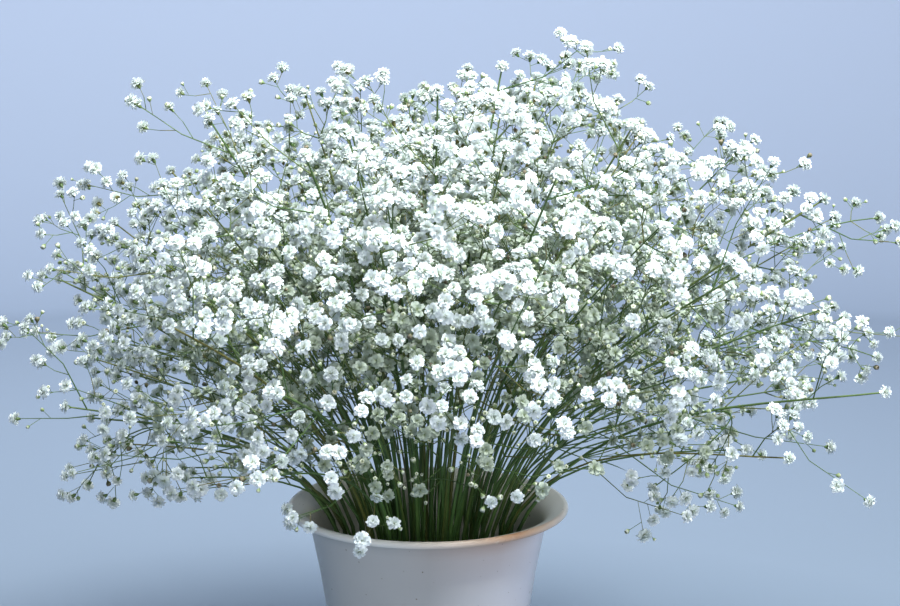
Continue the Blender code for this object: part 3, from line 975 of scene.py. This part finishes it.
def green_material():
    """Stems: green at the foot, darker above, yellower at the tips, with olive streaks."""
    nodes = Nodes("stem_green")
    foot, middle, tip = (0.095, 0.19, 0.05), (0.065, 0.13, 0.03), (0.10, 0.155, 0.045)
    age = nodes.ramp(nodes.value("along"), (0.0, foot), (0.35, middle), (1.0, tip))
    dull, plain, olive, brown = (0.7, 0.85, 0.8), (1.0, 1.0, 1.0), (1.35, 1.0, 0.9), (1.7, 0.95, 0.9)
    tone = nodes.ramp(nodes.value("tone"), (0.0, dull), (0.6, plain), (0.85, olive), (1.0, brown))
    colour = nodes.mix(1.0, age, tone, "MULTIPLY")
    fibres = nodes.noise(240, stretch=(1, 1, 0.15))
    streaks = nodes.ramp(fibres, (0.35, (0.75, 0.8, 0.7)), (0.7, (1.15, 1.1, 1.0)))
    return nodes.finish(nodes.mix(1.0, colour, streaks, "MULTIPLY"), roughness=0.5)


def petal_material():
    """Petals: white, greener at the heart, painted shade near the heart and deep in the bunch, and lit
    through.
    """
    nodes = Nodes("petals")
    # The heart is green, and the grey-green that fades out towards the tips is painted shade between the
    # petals.
    heart, middle, edge = (0.42, 0.50, 0.22), (0.74, 0.79, 0.71), (0.89, 0.93, 0.94)
    colour = nodes.ramp(nodes.value("along"), (0.0, heart), (0.35, middle), (0.75, edge))
    # Tones up to DEEPEST_SHADE are painted shade for deep flowers; from WHITE_SHADE up they vary at random.
    deepest_shaded, dull, pale, white = (0.50, 0.54, 0.42), (0.78, 0.82, 0.74), (0.91, 0.93, 0.90), (1, 1, 1)
    shade = nodes.ramp(
        nodes.value("tone"), (0.0, deepest_shaded), (DEEPEST_SHADE, dull), (WHITE_SHADE, pale), (0.5, white)
    )
    return nodes.finish(nodes.mix(1.0, colour, shade, "MULTIPLY"), roughness=0.6, translucent=0.25)


def bud_material():
    """Buds: a green calyx, a cream rim and a green middle, and a few of them withered."""
    nodes = Nodes("buds")
    base, side, rim, middle = (0.10, 0.16, 0.05), (0.30, 0.38, 0.17), (0.84, 0.86, 0.74), (0.30, 0.34, 0.14)
    colour = nodes.ramp(nodes.value("along"), (0.0, base), (0.5, side), (0.8, rim), (1.0, middle))
    withered = nodes.ramp(nodes.value("tone"), (0.91, (1, 1, 1)), (0.94, (0.34, 0.27, 0.22)))
    return nodes.finish(nodes.mix(1.0, colour, withered, "MULTIPLY"), roughness=0.55, translucent=0.15)


def plastic_material():
    """The bucket: off-white plastic, beige inside, painted shade on one side, and a stain under the lip."""
    nodes = Nodes("bucket_plastic")
    cloud = nodes.ramp(nodes.noise(11, 4), (0.35, (0.90, 0.90, 0.90)), (0.7, (1.0, 1.0, 1.0)))
    # Painted light and shade: lilac white on the lit side, grey and beige away from it. Beige tints inside and
    # on the lip.
    lit_side_white, shaded_grey, beige = (0.95, 0.91, 0.96), (0.51, 0.50, 0.49), (0.68, 0.66, 0.62)
    inside, lip = (0.70, 0.665, 0.585), (0.90, 0.87, 0.80)
    stops = (0.0, lit_side_white), (0.45, shaded_grey), (0.76, beige), (WALL_SHADE_AND_TINT, inside), (LIP_TINT, lip)
    shade_and_tint = nodes.ramp(nodes.value("along"), *stops)
    patchy = nodes.add("ShaderNodeMath", operation="MULTIPLY")
    nodes.link(nodes.value("tone"), patchy.inputs[0])
    nodes.link(nodes.ramp(nodes.noise(38, 4, 0.6), (0.1, (0, 0, 0)), (0.4, (1, 1, 1))), patchy.inputs[1])
    stained = nodes.mix(patchy.outputs["Value"], nodes.mix(1.0, shade_and_tint, cloud, "MULTIPLY"), (0.48, 0.25, 0.13))
    specks = nodes.ramp(nodes.noise(300, 1), (0.76, (1, 1, 1)), (0.79, (0.45, 0.38, 0.30)))
    nodes.bump(nodes.noise(260, 3, 0.6, (1, 1, 0.08)), strength=0.12, distance=0.0004)
    return nodes.finish(nodes.mix(1.0, stained, specks, "MULTIPLY"), roughness=0.36)


def water_material():
    """Water: clear, with faint clouds."""
    nodes = Nodes("water")
    colour = nodes.ramp(nodes.noise(20), (0.3, (0.80, 0.86, 0.86)), (0.7, (0.86, 0.9, 0.9)))
    nodes.shader.inputs["Transmission Weight"].default_value = 1.0
    nodes.shader.inputs["IOR"].default_value = 1.333
    return nodes.finish(colour, roughness=0.02)


def repaint(node, material):
    """Gives a CAD node this material."""
    for slot in node.material_slots:
        slot.material = material


def add_camera():
    data = bpy.data.cameras.new("camera")
    data.lens = LENS
    camera = bpy.data.objects.new("camera", data)
    camera.location = CAMERA_PLACE
    camera.rotation_euler = (math.pi / 2 - CAMERA_DOWN, 0, 0)
    bpy.context.scene.collection.objects.link(camera)
    bpy.context.scene.camera = camera


def add_light(name, place, target, size, power, colour):
    """A square light that looks from its place towards a target."""
    data = bpy.data.lights.new(name, "AREA")
    data.energy, data.color, data.size = power, colour, size
    light = bpy.data.objects.new(name, data)
    light.location = place
    toward = np.array(target) - np.array(place)
    yaw, flat = math.atan2(toward[1], toward[0]), math.hypot(toward[0], toward[1])
    light.rotation_euler = (math.atan2(flat, -toward[2]), 0, yaw - math.pi / 2)
    bpy.context.scene.collection.objects.link(light)


def add_stage():
    """A floor that turns up into a wall, with painted shade near the bucket, the lights, and an even pale
    world.
    """
    nodes = Nodes("floor")
    # Painted light and shade: the floor runs from dark near the bucket to pale up the wall.
    near, middle, far = (0.135, 0.175, 0.225), (0.37, 0.435, 0.54), (0.70, 0.775, 0.93)
    nodes.finish(nodes.ramp(nodes.value("along"), (0.05, near), (0.25, middle), (1.0, far)), roughness=0.9)
    nodes.shader.inputs["Specular IOR Level"].default_value = 0.0
    turns = np.linspace(0, math.pi / 2, BOWL_STEPS + 1)
    bowl = [(FLOOR_RADIUS + BOWL * math.sin(a), BOWL * (1 - math.cos(a))) for a in turns]
    profile = [(PINHOLE * 2, 0.0), (NEAR_RADIUS, 0.0), *bowl, (FLOOR_RADIUS + BOWL, BOWL * 2)]
    points, faces = turned_shape(profile, FLOOR_SIDES)
    along = np.linspace(0, 1, len(profile)) ** FLOOR_FADE
    floor = Shape()
    floor.add(points, faces, np.repeat(along, FLOOR_SIDES), 0.0)
    floor.make("floor", [nodes.material])
    for light in LIGHTS:
        add_light(*light)
    world = bpy.data.worlds.new("world")
    world.use_nodes = True
    world.node_tree.nodes["Background"].inputs["Color"].default_value = WORLD_COLOUR
    world.node_tree.nodes["Background"].inputs["Strength"].default_value = WORLD_STRENGTH
    bpy.context.scene.world = world
    bpy.context.scene.view_settings.view_transform = "Standard"


def main():
    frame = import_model()
    add_camera()
    add_stage()
    materials = {"green": green_material(), "petal": petal_material(), "bud": bud_material()}
    bucket = build_bucket(plastic_material())
    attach(bucket, "root")
    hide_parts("bucket")
    repaint(frame["nodes"]["water"], water_material())
    kinds = [
        [flower_kind(whorls, random.Random(SEED + number)) for number in range(FLOWER_KINDS)]
        for whorls in (WHORLS, DEEP_WHORLS)
    ]
    bunch, taken = grow_bunch(), Blossoming()
    for plant in bunch:
        for stalk in plant.stalks:
            taken.take(stalk.points[-1])
    strays = collections.defaultdict(list)
    for end in np.array(STRAYS) + RIM_CENTRE:
        apart = [np.linalg.norm(plant.stalks[0].points[-1] - end) for plant in bunch]
        strays[int(np.argmin(apart))].append(end)
    for number, plant in enumerate(bunch):
        dressing = Dressing(number, taken)
        dressing.dress(plant)
        for end in strays[number]:
            dressing.grow_stray(plant.stalks[0].points[1:], end)
        name = f"stem_{number + 1:02d}"
        green, bloom = build_plant(name, dressing, kinds, materials)
        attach(green, "root")
        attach(bloom, "root")
        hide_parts(f"gypsophila_{name}")


main()
